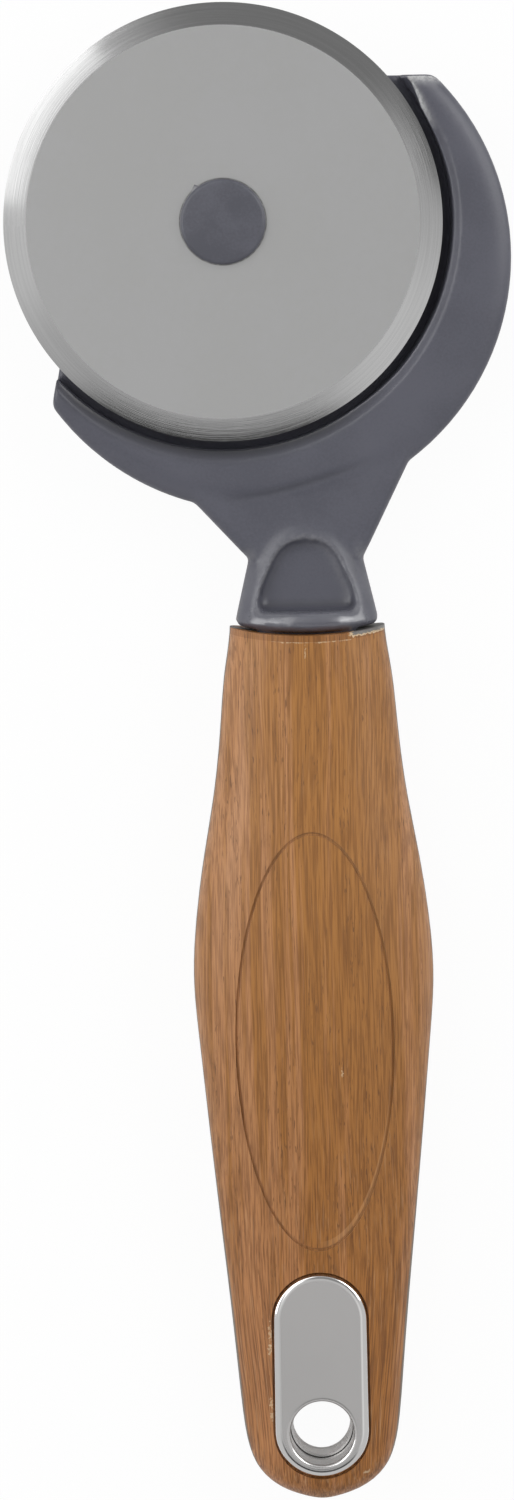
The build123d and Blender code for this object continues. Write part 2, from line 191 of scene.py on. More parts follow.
soft_box("left_soft_box", (-0.52, 0.15, 0.33), (0, 0.05, 0), (0.5, 0.35), 1.22)
soft_box("right_soft_box", (0.519, 0.239, 0.347), (0.03, 0.08, 0), (0.36, 0.60), 1.36)


# Table. A plain pale sheet under the cutter, white to the camera but for the cutter's faint shadow.
table_colour = (0.90, 0.90, 0.90, 1)
table_whitening = 0.95
table_size = 3.0
mesh = bpy.data.meshes.new("table")
half = table_size / 2
mesh.from_pydata([(-half, -half, 0), (half, -half, 0), (half, half, 0), (-half, half, 0)], [], [(0, 1, 2, 3)])
table = bpy.data.objects.new("table", mesh)
bpy.context.scene.collection.objects.link(table)
material = bpy.data.materials.new("pale table")
material.use_nodes = True
tree = material.node_tree
tree.nodes.clear()
paper = add_node(tree, "ShaderNodeBsdfDiffuse", {"Color": table_colour})
glow = add_node(tree, "ShaderNodeEmission", {"Color": (1, 1, 1, 1), "Strength": 1.0})
seen = add_node(tree, "ShaderNodeLightPath").outputs["Is Camera Ray"]
white_share = maths(tree, "MULTIPLY", seen, table_whitening)
blend = add_node(tree, "ShaderNodeMixShader", {0: white_share, 1: paper.outputs[0], 2: glow.outputs[0]})
add_node(tree, "ShaderNodeOutputMaterial", {"Surface": blend.outputs[0]})
mesh.materials.append(material)


# Head moulding: one piece of slate grey glass-filled nylon, with the back plate, the crescent lip
# round the blade, the neck and the collar with its thumb recess. Every edge is rounded by the tool,
# most of all round the recess, and the face is finely sparked.
def new_group(name, inputs, outputs):
    """Shader node group with named sockets; returns it with its input's and its output's node."""
    group = bpy.data.node_groups.new(name, "ShaderNodeTree")
    for socket, kind, value in inputs:
        made = group.interface.new_socket(socket, in_out="INPUT", socket_type=kind)
        if value is not None:
            made.default_value = value
    for socket, kind in outputs:
        group.interface.new_socket(socket, in_out="OUTPUT", socket_type=kind)
    return group, group.nodes.new("NodeGroupInput"), group.nodes.new("NodeGroupOutput")


def noise(tree, place, scale, detail=2.0, roughness=0.5):
    """Noise texture's value, about 0.5 on average."""
    made = add_node(tree, "ShaderNodeTexNoise", {
        "Vector": place,
        "Scale": scale,
        "Detail": detail,
        "Roughness": roughness,
    })
    return made.outputs["Fac"]


def tint(tree, share, low_colour, high_colour, blend_type="MIX"):
    """Colour between two, by a share."""
    made = add_node(tree, "ShaderNodeMix", {"Factor": share}, data_type="RGBA", blend_type=blend_type)
    for index, colour in ((6, low_colour), (7, high_colour)):
        if isinstance(colour, bpy.types.NodeSocket):
            tree.links.new(colour, made.inputs[index])
        else:
            made.inputs[index].default_value = (*colour[:3], 1)
    return made.outputs[2]


# Fine skin of a moulded or brushed face: slow clouds and a fine spark, as a colour, a roughness and
# a height.
skin, into, out_of = new_group("fine skin", [
    ("Dark", "NodeSocketColor", (0, 0, 0, 1)),
    ("Light", "NodeSocketColor", (1, 1, 1, 1)),
    ("Smooth", "NodeSocketFloat", 0.3),
    ("Rough", "NodeSocketFloat", 0.5),
    ("Cloud Scale", "NodeSocketFloat", 60.0),
    ("Spark Scale", "NodeSocketFloat", 2600.0),
], [
    ("Colour", "NodeSocketColor"),
    ("Roughness", "NodeSocketFloat"),
    ("Height", "NodeSocketFloat"),
])
place = add_node(skin, "ShaderNodeTexCoord").outputs["Object"]
cloud = noise(skin, place, into.outputs["Cloud Scale"], 3)
spark = noise(skin, place, into.outputs["Spark Scale"], 3, 0.6)
share = maths(skin, "ADD", maths(skin, "MULTIPLY", cloud, 0.65), maths(skin, "MULTIPLY", spark, 0.35))
share = smooth_step(skin, share, 0.38, 0.62)
skin.links.new(tint(skin, share, into.outputs["Dark"], into.outputs["Light"]), out_of.inputs["Colour"])
rough = add_node(skin, "ShaderNodeMapRange", {
    "Value": spark,
    "From Min": 0.3,
    "From Max": 0.7,
    "To Min": into.outputs["Smooth"],
    "To Max": into.outputs["Rough"],
})
skin.links.new(rough.outputs["Result"], out_of.inputs["Roughness"])
skin.links.new(spark, out_of.inputs["Height"])


def new_finish(name, **plain_values):
    """Material with a Principled shader; plain_values are set on the shader's own sockets."""
    made = bpy.data.materials.new(name)
    made.use_nodes = True
    tree = made.node_tree
    tree.nodes.clear()
    shader = add_node(tree, "ShaderNodeBsdfPrincipled")
    for socket, value in plain_values.items():
        shader.inputs[socket.replace("_", " ")].default_value = value
    add_node(tree, "ShaderNodeOutputMaterial", {"Surface": shader.outputs[0]})
    return made, tree, shader


def place_group(tree, group, **values):
    """Node group placed in a material, with its values by socket name."""
    made = add_node(tree, "ShaderNodeGroup", node_tree=group)
    for socket, value in values.items():
        socket = made.inputs[socket.replace("_", " ")]
        if isinstance(value, bpy.types.NodeSocket):
            tree.links.new(value, socket)
        else:
            socket.default_value = (*value, 1) if isinstance(value, tuple) else value
    return made


def add_bump(tree, shader, height, strength, distance):
    """Bump from a height, on the shader's normal."""
    bump = add_node(tree, "ShaderNodeBump", {"Strength": strength, "Distance": distance, "Height": height})
    tree.links.new(bump.outputs[0], shader.inputs["Normal"])


def skin_finish(name, dark, light, smooth, rough, cloud_scale, spark_scale, bump_height, **plain_values):
    """Material that shows only the fine skin."""
    made, tree, shader = new_finish(name, **plain_values)
    skinned = place_group(tree, skin, Dark=dark, Light=light, Smooth=smooth, Rough=rough,
                          Cloud_Scale=cloud_scale, Spark_Scale=spark_scale)
    tree.links.new(skinned.outputs["Colour"], shader.inputs["Base Color"])
    tree.links.new(skinned.outputs["Roughness"], shader.inputs["Roughness"])
    add_bump(tree, shader, skinned.outputs["Height"], 0.3, bump_height)
    return made


def merged_copy(node_name, name):
    """Copy of a CAD node's mesh with its loose triangles joined."""
    mesh = frame["nodes"][node_name].data.copy()
    form = bmesh.new()
    form.from_mesh(mesh)
    bmesh.ops.remove_doubles(form, verts=form.verts, dist=0.000001)
    form.to_mesh(mesh)
    form.free()
    mesh.name = name
    made = bpy.data.objects.new(name, mesh)
    bpy.context.scene.collection.objects.link(made)
    return made


def made_plain(made, finish=None):
    """Turns an object's modifiers into its plain mesh."""
    graph = bpy.context.evaluated_depsgraph_get()
    mesh = bpy.data.meshes.new_from_object(made.evaluated_get(graph))
    made.modifiers.clear()
    made.data = mesh
    if finish:
        mesh.materials.clear()
        mesh.materials.append(finish)
    return made


slate_nylon, tree, shader = new_finish("slate nylon", IOR=1.5, Coat_IOR=1.75, Coat_Roughness=0.22)
skinned = place_group(tree, skin, Dark=(0.076, 0.077, 0.097), Light=(0.093, 0.094, 0.117), Smooth=0.29,
                      Rough=0.41, Cloud_Scale=70.0, Spark_Scale=2600.0)
place = add_node(tree, "ShaderNodeTexCoord").outputs["Object"]
x, y, z = add_node(tree, "ShaderNodeSeparateXYZ", {"Vector": place}).outputs
# Painted shade, kept as a value on each point of the head, darkens the nylon towards near black.
painted_shade = add_node(tree, "ShaderNodeAttribute", attribute_name="painted_shade").outputs["Fac"]
painted_highlight = add_node(tree, "ShaderNodeAttribute", attribute_name="painted_highlight").outputs["Fac"]
colour = tint(tree, painted_shade, skinned.outputs["Colour"], (0.010, 0.010, 0.012))
# The painted highlight, broken up by noise, lightens the nylon towards grey.
broken = smooth_step(tree, noise(tree, place, 1700, 3, 0.6), 0.34, 0.58, 0.55, 1.0)
colour = tint(tree, maths(tree, "MULTIPLY", painted_highlight, broken), colour, (0.50, 0.50, 0.50))
tree.links.new(colour, shader.inputs["Base Color"])
foot_edge = 0.0204               # the collar's foot below its recess is polished by the thumb
polished = maths(tree, "MULTIPLY", smooth_step(tree, y, foot_edge - 0.0002, foot_edge + 0.0004, 1.0, 0.0),
                 smooth_step(tree, z, 0.0125, 0.0145))
patchy = smooth_step(tree, noise(tree, place, 700, 4, 0.7), 0.38, 0.56, 0.6, 1.0)
polished = maths(tree, "MULTIPLY", polished, patchy)
rough = between(tree, polished, skinned.outputs["Roughness"], 0.19)
tree.links.new(rough, shader.inputs["Roughness"])
tree.links.new(polished, shader.inputs["Coat Weight"])
add_bump(tree, shader, skinned.outputs["Height"], 0.3, 0.00002)
moulding_grain = 0.0004          # size of the squares that the moulding's skin is made of
edge_passes = 4
recess_passes = 26
web_low = 0.0095                 # the face side of the moulding is above this height
web_blend = 0.0015
lip_low = 0.0065                 # the lip's inner wall is above this height
front_low = 0.0105               # the edges that show wear are above this height
recess_middle = (0.0062, 0.0250)
recess_reach = 0.0100
recess_blend = 0.0015
recess_foot = 0.0196
recess_foot_blend = 0.0010
foot_along = 0.0205              # the recess's foot, moved down by foot_drop
foot_drop = 0.00045
foot_spread = 0.0016
foot_reach = 0.0105
foot_blend = 0.002
arch_start = 0.0230              # from here up the recess is drawn in towards its middle
arch_full = 0.0290
arch_top = 0.0345
arch_reach = 0.0092
arch_blend = 0.003
arch_share = 0.07
joint_centre = (0.006175, 0.07515)
joint_radius = 0.0580            # the collar's end is grown a little towards the handle
collar_growth = 0.00025
collar_top = 0.03
growth_inner = 0.0025            # how far inside and outside the joint's radius the growth fades out
growth_outer = 0.001
tip_turns = (29, 36)             # towards its tip, in degrees round the axle, the lip leaves the blade
tip_opening = 0.0010
tip_end = 0.0965
plate_growth = 0.0003            # the back plate's end is brought up to the tip's
plate_blend = 0.002
lip_start = 0.0328               # where the lip's inner wall starts, and how far its moves reach into it
lip_blend = 0.0022
side_turns = (-55, 25)           # beside the blade the slot is a little wider
side_opening = 0.0003
side_fade = 15                   # degrees over which it gets wider
dish_start = 0.0330              # below the blade the lip is dished towards it, from the lip's radius out
dish_width = 0.0024
dish_depth = 0.0006
dish_turns = (-150, -45)
dish_fade = 20
# painted shade on the dish
dish_painted_shade = 0.9
dish_overlap = 0.2
crease_centre = (-0.0128, 0.1076)
crease_radius = 0.0721
crease_width = 0.00045
crease_depth = 0.00022
crease_ends = (-0.0065, 0.0165)
# painted shade in the crease
crease_painted_shade = 0.28
web_top = 0.05
least_up = 0.05                  # only faces that look up are folded or dished
highlight_edge = 0.00025              # a painted highlight runs along the lip's edge towards its tip, from the dish's start out
highlight_edge_width = 0.00045
highlight_end_width = 0.0009
highlight_turn = 22
highlight_fade = 8
tip_turn_limit = 60              # degrees round the axle; the other tip is beyond
collar_span = (0.015, 0.036)
collar_reach = 0.011
inside_reach = 0.0072            # inside the recess, where walls get painted shade or painted light and the foot gets painted shade
edge_highlight_depth = 0.00012           # an edge that the softening sank by this much gets the full painted highlight
edge_highlight = 0.14
lit_share = 0.09                 # painted light on the recess's right wall, which faces left
lit_slope = 0.3
shaded_way = (0.75, -0.65)       # the recess's walls that face this way get painted shade
shaded_slope = 0.35
shaded_share = 0.22
painted_foot_shade = (0.0002, 0.0006)    # painted shade in the recess's foot: how far above it, and how wide
painted_foot_shade_blend = 0.0008
painted_foot_shade_share = 0.42
foot_top = 0.0145


def ramp(value):
    """Value held between 0 and 1."""
    return min(1, max(0, value))


head = merged_copy("head_frame", "head_moulding")
remesh = head.modifiers.new("moulding", "REMESH")
remesh.mode = "VOXEL"
remesh.voxel_size = moulding_grain
remesh.use_smooth_shade = True
soften = head.modifiers.new("edges", "SMOOTH")
soften.factor = 0.5
soften.iterations = edge_passes
made_plain(head)
recess = head.vertex_groups.new(name="recess")
for vertex in head.data.vertices:
    x, y, z = vertex.co
    off_middle = abs(x - recess_middle[0])
    upper = ramp((z - web_low) / web_blend)
    away = math.hypot(x - recess_middle[0], y - recess_middle[1])
    share = ramp((recess_reach - away) / recess_blend) * upper * ramp((y - recess_foot) / recess_foot_blend)
    if share > 0:
        recess.add([vertex.index], share, "REPLACE")
    off_side = ramp((foot_reach - off_middle) / foot_blend)
    vertex.co.y -= foot_drop * upper * off_side * math.exp(-((y - foot_along) / foot_spread) ** 2)
    drawn = ramp((y - arch_start) / (arch_full - arch_start)) * ramp((arch_top - y) / arch_blend)
    drawn *= ramp((arch_reach - off_middle) / arch_blend) * upper
    vertex.co.x -= (x - recess_middle[0]) * arch_share * drawn
    away = math.hypot(x - joint_centre[0], y - joint_centre[1])
    if y < collar_top and joint_radius - growth_inner < away < joint_radius + growth_outer:
        growth = min((away - joint_radius + growth_inner) / growth_inner,
                     (joint_radius + growth_outer - away) / growth_outer)
        vertex.co += Vector((x - joint_centre[0], y - joint_centre[1], 0)) / away * growth * collar_growth
soften = head.modifiers.new("recess", "SMOOTH")
soften.factor = 0.5
soften.iterations = recess_passes
soften.vertex_group = "recess"
unsoftened = [vertex.co.copy() for vertex in head.data.vertices]
made_plain(head, slate_nylon)
wheel_axis = Vector(frame["joints"][0]["pos_m"])
# Each point of the head gets its painted shade and its painted highlight here.
painted_shade = head.data.attributes.new("painted_shade", "FLOAT", "POINT")
painted_highlight = head.data.attributes.new("painted_highlight", "FLOAT", "POINT")
for vertex in head.data.vertices:
    x, y, z = vertex.co
    away = math.hypot(x - wheel_axis.x, y - wheel_axis.y)
    turn = math.degrees(math.atan2(y - wheel_axis.y, x - wheel_axis.x))
    painted_dark = painted_shade.data[vertex.index]
    wear_and_painted_highlight = painted_highlight.data[vertex.index]
    towards_tip = ramp((turn - tip_turns[0]) / (tip_turns[1] - tip_turns[0])) * (turn < tip_turn_limit)
    # Painted highlights along the lip's inner edge towards its tip and along the tip's end.
    if z > front_low and turn < tip_turn_limit:
        inner_edge = math.exp(-((away - dish_start - highlight_edge) / highlight_edge_width) ** 2)
        inner_edge *= ramp((turn - highlight_turn) / highlight_fade)
        end_edge = math.exp(-((y - tip_end) / highlight_end_width) ** 2) * (away > dish_start)
        wear_and_painted_highlight.value = max(inner_edge, end_edge)
    off_middle = abs(x - recess_middle[0])
    # Round the collar's recess: painted light on the wall that faces left and on edges the softening rounded
    # off, painted shade on walls that face right and down and along the recess's foot.
    if z > front_low and collar_span[0] < y < collar_span[1] and off_middle < collar_reach:
        sunk = (unsoftened[vertex.index] - vertex.co).dot(vertex.normal)
        inside = math.hypot(x - recess_middle[0], y - recess_middle[1]) < inside_reach
        lit = lit_share * ramp(-vertex.normal.x / lit_slope) * inside
        wear_and_painted_highlight.value = max(lit, edge_highlight * ramp(sunk / edge_highlight_depth))
        in_foot = math.exp(-((y - foot_along - painted_foot_shade[0]) / painted_foot_shade[1]) ** 2)
        in_foot *= ramp((inside_reach - off_middle) / painted_foot_shade_blend)
        facing = vertex.normal.x * shaded_way[0] + vertex.normal.y * shaded_way[1]
        shaded = shaded_share * ramp(facing / shaded_slope) * inside
        painted_dark.value = max(shaded, painted_foot_shade_share * in_foot) * (z < foot_top)
    if lip_low < z:
        inner_share = ramp(1 - (away - lip_start) / lip_blend) * min(1, (z - lip_low) / web_blend)
        beside = ramp(min(turn - side_turns[0], side_turns[1] - turn) / side_fade)
        outward = Vector((x - wheel_axis.x, y - wheel_axis.y, 0)) / away
        vertex.co += outward * inner_share * beside * side_opening
        vertex.co.x += towards_tip * inner_share * tip_opening
    elif y > tip_end - plate_blend:
        vertex.co.y += plate_growth * (y - tip_end + plate_blend) / plate_blend
    if z < web_low or vertex.normal.z < least_up:
        continue
    off = math.hypot(x - crease_centre[0], y - crease_centre[1]) - crease_radius
    # The crease on the face is folded in and darkened by painted shade.
    if y < web_top and crease_ends[0] < x < crease_ends[1]:
        along = (x - crease_ends[0]) / (crease_ends[1] - crease_ends[0])
        folded = math.sin(math.pi * along) * math.exp(-(off / crease_width) ** 2)
        vertex.co.z -= crease_depth * folded
        painted_dark.value = max(painted_dark.value, crease_painted_shade * folded)
    # Below the blade the lip is dished and darkened by painted shade.
    dished = ramp(min(turn - dish_turns[0], dish_turns[1] - turn) / dish_fade)
    off = (away - dish_start) / dish_width
    if dished > 0 and -dish_overlap < off < 1:
        vertex.co.z -= dish_depth * dished * (1 - max(0, off)) ** 2
        painted_dark.value = dish_painted_shade * dished * (1 - max(0, off)) ** 1.5
for vertex in head.data.vertices:
    vertex.co.z = max(0, vertex.co.z)
head.data.update()
head.vertex_groups.clear()
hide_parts("head_frame")
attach(head, "handle_and_head")


# Blade: disc of stainless steel, satin on its faces, with a bevel ground round both sides of its
# rim. It is turned, like the hub's cap and plugs, from a profile that runs round the wheel's axis.
def new_geometry_tree(name, inputs):
    """Geometry node tree with named inputs after its Profile; returns it with its ends."""
    made = bpy.data.node_groups.new(name, "GeometryNodeTree")
    made.interface.new_socket("Profile", in_out="INPUT", socket_type="NodeSocketGeometry")
    for socket, kind in inputs:
        made.interface.new_socket(socket, in_out="INPUT", socket_type=kind)
    made.interface.new_socket("Piece", in_out="OUTPUT", socket_type="NodeSocketGeometry")
    return made, made.nodes.new("NodeGroupInput"), made.nodes.new("NodeGroupOutput")


# A profile's points are rows of (radius, share, height). The share is 0 on rings round the hole or
# the axis, and 1 on rings that run round both ends of a long piece.
turning, into, out_of = new_geometry_tree("turned piece", [
    ("Points", "NodeSocketInt"),
    ("Steps", "NodeSocketInt"),
    ("Straight", "NodeSocketFloat"),
    ("Centre", "NodeSocketVector"),
    ("Hole Offset", "NodeSocketFloat"),
    ("Finish", "NodeSocketMaterial"),
])
columns = maths(turning, "ADD", into.outputs["Steps"], 1.0)
grid = add_node(turning, "GeometryNodeMeshGrid", {
    "Vertices X": into.outputs["Points"],
    "Vertices Y": columns,
})
number = add_node(turning, "GeometryNodeInputIndex").outputs[0]
row = maths(turning, "FLOOR", maths(turning, "DIVIDE", maths(turning, "ADD", number, 0.5), columns))
column = maths(turning, "SUBTRACT", number, maths(turning, "MULTIPLY", row, columns))
point = add_node(turning, "GeometryNodeSampleIndex", data_type="FLOAT_VECTOR", domain="POINT")
turning.links.new(into.outputs["Profile"], point.inputs["Geometry"])
turning.links.new(add_node(turning, "GeometryNodeInputPosition").outputs[0], point.inputs["Value"])
turning.links.new(row, point.inputs["Index"])
radius, share, height = add_node(turning, "ShaderNodeSeparateXYZ", {"Vector": point.outputs[0]}).outputs
angle = maths(turning, "DIVIDE", maths(turning, "ADD", column, 0.5), into.outputs["Steps"])
angle = maths(turning, "MULTIPLY", angle, math.tau)
sine = maths(turning, "SINE", angle)
side = maths(turning, "MULTIPLY", share, maths(turning, "MULTIPLY", maths(turning, "SIGN", sine),
                                               into.outputs["Straight"]))
offset = maths(turning, "MULTIPLY", maths(turning, "SUBTRACT", 1.0, share), into.outputs["Hole Offset"])
ring = add_node(turning, "ShaderNodeCombineXYZ", {
    "X": maths(turning, "MULTIPLY", radius, maths(turning, "COSINE", angle)),
    "Y": maths(turning, "ADD", maths(turning, "MULTIPLY", radius, sine), maths(turning, "ADD", side, offset)),
    "Z": height,
})
placed = add_node(turning, "ShaderNodeVectorMath", {0: ring.outputs[0], 1: into.outputs["Centre"]},
                  operation="ADD")
turned = add_node(turning, "GeometryNodeSetPosition", {
    "Geometry": grid.outputs["Mesh"],
    "Position": placed.outputs[0],
})
closed = add_node(turning, "GeometryNodeMergeByDistance", {
    "Geometry": turned.outputs[0],
    "Distance": 0.000002,
})
real = add_node(turning, "GeometryNodeRealizeInstances", {"Geometry": closed.outputs[0]})
finished = add_node(turning, "GeometryNodeSetMaterial", {
    "Geometry": real.outputs[0],
    "Material": into.outputs["Finish"],
})
turning.links.new(finished.outputs[0], out_of.inputs["Piece"])


def turned_piece(name, profile, centre, finish, sharp_degrees, steps=192, straight=0.0, hole_offset=0.0):
    """Piece turned from its profile's rows, as a plain mesh."""
    mesh = bpy.data.meshes.new(name)
    mesh.from_pydata(profile, [(index, index + 1) for index in range(len(profile) - 1)], [])
    made = bpy.data.objects.new(name, mesh)
    bpy.context.scene.collection.objects.link(made)
    modifier = made.modifiers.new("turning", "NODES")
    modifier.node_group = turning
    socket_names = {item.name: item.identifier for item in turning.interface.items_tree
                    if item.in_out == "INPUT"}
    modifier[socket_names["Points"]] = len(profile)
    modifier[socket_names["Steps"]] = steps
    modifier[socket_names["Straight"]] = straight
    modifier[socket_names["Centre"]] = centre
    modifier[socket_names["Hole Offset"]] = hole_offset
    modifier[socket_names["Finish"]] = finish
    made_plain(made)
    form = bmesh.new()
    form.from_mesh(made.data)
    bmesh.ops.recalc_face_normals(form, faces=form.faces)
    form.to_mesh(made.data)
    form.free()
    made.data.shade_smooth()
    made.data.set_sharp_from_angle(angle=math.radians(sharp_degrees))
    return made


def rounded(radius, share, height, wide, high, quarter, steps=6):
    """Rows of a rounded corner; quarter tells where the turn starts, in steps of 90 degrees."""
    rows = []
    for index in range(steps + 1):
        angle = math.pi / 2 * (quarter + index / steps)
        rows.append((radius + wide * math.cos(angle), share, height + high * math.sin(angle)))
    return rows


blade_low, blade_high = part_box("blade")
blade_radius = (blade_high.x - blade_low.x) / 2 - 0.000005
blade_middle = (blade_low.z + blade_high.z) / 2
half_thickness = (blade_high.z - blade_low.z) / 2
bevel_width = 0.0033
half_edge = 0.000075
bevel_roll = 0.0013              # the bevel's outer part is steeper
roll_height = 0.000283
bore_radius = 0.0045
bevel_start = blade_radius - bevel_width
blade_steel, tree, shader = new_finish("blade steel", Metallic=1.0)
place = add_node(tree, "ShaderNodeTexCoord").outputs["Object"]
centred = add_node(tree, "ShaderNodeMapping", {"Vector": place, "Location": tuple(-wheel_axis)}).outputs[0]
x, y, z = add_node(tree, "ShaderNodeSeparateXYZ", {"Vector": centred}).outputs
radius = length(tree, x, y)
on_bevel = smooth_step(tree, radius, bevel_start - 0.00005, bevel_start + 0.0001)
turn_share = maths(tree, "MULTIPLY", maths(tree, "ARCTAN2", y, x), 0.00035)
line_place = add_node(tree, "ShaderNodeCombineXYZ", {"X": radius, "Y": turn_share, "Z": z})
grinding = noise(tree, line_place.outputs[0], 6200, 3, 0.7)
broad_lines = noise(tree, line_place.outputs[0], 3800, 2, 0.6)
skinned = place_group(tree, skin, Dark=(0.615, 0.615, 0.61), Light=(0.625, 0.625, 0.625), Smooth=0.285,
                      Rough=0.295, Cloud_Scale=55.0, Spark_Scale=900.0)
bright_line = smooth_step(tree, broad_lines, 0.35, 0.68)
bevel_colour = tint(tree, bright_line, (0.60, 0.60, 0.60), (0.65, 0.65, 0.65))
painted_shade_radius = 0.0062             # painted shade in the corner round the hub's cap
painted_dark = hump(tree, radius, painted_shade_radius - 0.0006, painted_shade_radius + 0.00014, 0.00008)
painted_dark_patchy = maths(tree, "MULTIPLY", painted_dark, smooth_step(tree, noise(tree, place, 1300, 2), 0.3, 0.6, 0.45, 0.85))
face_colour = tint(tree, painted_dark_patchy, skinned.outputs["Colour"], (0.16, 0.16, 0.155))
tree.links.new(tint(tree, on_bevel, face_colour, bevel_colour), shader.inputs["Base Color"])
ground = smooth_step(tree, grinding, 0.3, 0.7, 0.07, 0.12)
tree.links.new(between(tree, on_bevel, skinned.outputs["Roughness"], ground), shader.inputs["Roughness"])
height = maths(tree, "MULTIPLY", grinding, on_bevel)
add_bump(tree, shader, height, 0.35, 0.00002)
blade = turned_piece("turned_blade", [
    (bore_radius, 0, half_thickness),
    (bevel_start, 0, half_thickness),
    (blade_radius - bevel_roll, 0, roll_height),
    (blade_radius, 0, half_edge),
    (blade_radius, 0, -half_edge),
    (blade_radius - bevel_roll, 0, -roll_height),
    (bevel_start, 0, -half_thickness),
    (bore_radius, 0, -half_thickness),
    (bore_radius, 0, half_thickness),
], (wheel_axis.x, wheel_axis.y, blade_middle), blade_steel, 4, 288)
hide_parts("blade")
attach(blade, "wheel")


# Hub: the cap in front of the blade is turned from the same nylon as the head, with a rounded rim;
# the blade's face gets painted shade in the corner under it. The bush behind it and the plug over the nut
# match.
cap_low, cap_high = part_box("hub_cap")
cap_radius = (cap_high.x - cap_low.x) / 2
cap_rounding = 0.0006
spigot_radius = 0.0045
spigot_height = 0.0007
hub_nylon = skin_finish("hub nylon", (0.074, 0.075, 0.092), (0.094, 0.095, 0.116), 0.32, 0.42, 190, 2600,
                        0.00002, IOR=1.5)
cap_height = cap_high.z - cap_low.z
cap_crown = 0.00022
flash_turns = (124, 137)         # a tag of moulding flash stands out of the rim's foot here, in degrees
flash_reach = 0.0006
flash_foot = 0.00025             # the rim's lowest row
flash_peak = 0.12                # the share of its turns at which the tag stands out most
cap_rim = rounded(cap_radius - cap_rounding, 0, cap_height - cap_rounding - cap_crown, cap_rounding,
                  cap_rounding, 0)
hub_cap = turned_piece("turned_hub_cap", [
    (0, 0, cap_height),
    (cap_radius * 0.3, 0, cap_height - cap_crown * 0.12),
    (cap_radius * 0.6, 0, cap_height - cap_crown * 0.45),
    *cap_rim[::-1],
    (cap_radius, 0, flash_foot),
    (cap_radius, 0, 0),
    (spigot_radius, 0, 0),
    (spigot_radius, 0, spigot_height),
    (0, 0, spigot_height),
], (wheel_axis.x, wheel_axis.y, cap_low.z), hub_nylon, 35, 192)
for vertex in hub_cap.data.vertices:
    x, y, z = vertex.co - Vector((wheel_axis.x, wheel_axis.y, cap_low.z))
    turn = (math.degrees(math.atan2(y, x)) - flash_turns[0]) / (flash_turns[1] - flash_turns[0])
    if 0 < turn < 1 and z < flash_foot + 0.00005 and math.hypot(x, y) > cap_radius - 0.00005:
        reach = flash_reach * min(turn / flash_peak, (1 - turn) / (1 - flash_peak))
        vertex.co += Vector((x, y, 0)) / math.hypot(x, y) * reach
hub_cap.data.update()
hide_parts("hub_cap")
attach(hub_cap, "wheel")


def set_finish(node_name, finish):
    """Puts a finish on a node that keeps its own mesh."""
    piece = frame["nodes"][node_name]
    piece.data.materials.clear()
    piece.data.materials.append(finish)


for name in ("hub_bush", "rear_hub_cap"):
    set_finish(name, hub_nylon)


# Axle screw, washers and nut, tang dowels and shell screws: plain bright steel.
bright_steel = skin_finish("bright steel", (0.5, 0.5, 0.5), (0.6, 0.6, 0.6), 0.24, 0.34, 400, 3000, 0.00001,
                           Metallic=1.0)
for name in ("axle_screw", "front_washer", "rear_washer", "axle_nut", "tang_dowels", "shell_screws"):
    set_finish(name, bright_steel)


# Handle shells: moulded halves wrapped in a printed wood film, with ochre and pinkish strips of
# straight grain, dark fibres and short pores. The film stops just short of the seam, where the grey
# moulding shows, and is scuffed to its cream backing beside the plate.
grain, into, out_of = new_group("printed grain", [
    ("Sway", "NodeSocketFloat", 0.0016),
    ("Fan", "NodeSocketFloat", -0.24),
], [
    ("Colour", "NodeSocketColor"),
    ("Fibres", "NodeSocketFloat"),
])
place = add_node(grain, "ShaderNodeTexCoord").outputs["Object"]
x, y, z = add_node(grain, "ShaderNodeSeparateXYZ", {"Vector": place}).outputs
handle_middle = (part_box("handle_front_shell")[0].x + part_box("handle_front_shell")[1].x) / 2
lane = maths(grain, "SUBTRACT", x, handle_middle)
fanning = smooth_step(grain, y, -0.112, -0.070, 1.0, 0.0)
spread = maths(grain, "ADD", 1.0, maths(grain, "MULTIPLY", fanning, into.outputs["Fan"]))
lane = maths(grain, "DIVIDE", lane, spread)
slow_place = add_node(grain, "ShaderNodeCombineXYZ", {
    "X": maths(grain, "MULTIPLY", lane, 60.0),
    "Y": maths(grain, "MULTIPLY", y, 22.0),
})
sway = maths(grain, "SUBTRACT", noise(grain, slow_place.outputs[0], 1.0, 2), 0.5)
lane = maths(grain, "ADD", lane, maths(grain, "MULTIPLY", sway, into.outputs["Sway"]))


def along_grain(across_scale, along_scale, detail, roughness, layer):
    """Noise drawn out along the handle; each layer has its own."""
    stretched = add_node(grain, "ShaderNodeCombineXYZ", {
        "X": maths(grain, "MULTIPLY", lane, across_scale),
        "Y": maths(grain, "MULTIPLY", y, along_scale),
        "Z": maths(grain, "ADD", maths(grain, "MULTIPLY", z, across_scale * 0.3), layer),
    })
    return noise(grain, stretched.outputs[0], 1.0, detail, roughness)


strips = along_grain(260.0, 3.0, 3, 0.55, 0.0)
bands = along_grain(1250.0, 10.0, 3, 0.6, 31.0)
fibres = along_grain(4300.0, 95.0, 3, 0.6, 7.0)
threads = along_grain(6500.0, 130.0, 2, 0.5, 19.0)
scratches = along_grain(5600.0, 110.0, 2, 0.5, 41.0)
pores = along_grain(5200.0, 520.0, 2, 0.5, 3.0)
pore_rows = along_grain(650.0, 40.0, 2, 0.5, 23.0)
towards_end = smooth_step(grain, y, -0.100, -0.040, 1.0, 0.0)
off_middle = maths(grain, "SUBTRACT", 0.0005, lane)
pinkness = maths(grain, "ADD", strips, smooth_step(grain, off_middle, 0.0045, 0.0115, -0.05, 0.10))
pinkness = maths(grain, "ADD", pinkness, smooth_step(grain, off_middle, -0.0115, -0.0045, 0.03, 0.0))
pinkness = maths(grain, "ADD", pinkness, maths(grain, "MULTIPLY", maths(grain, "SUBTRACT", bands, 0.5), 0.55))
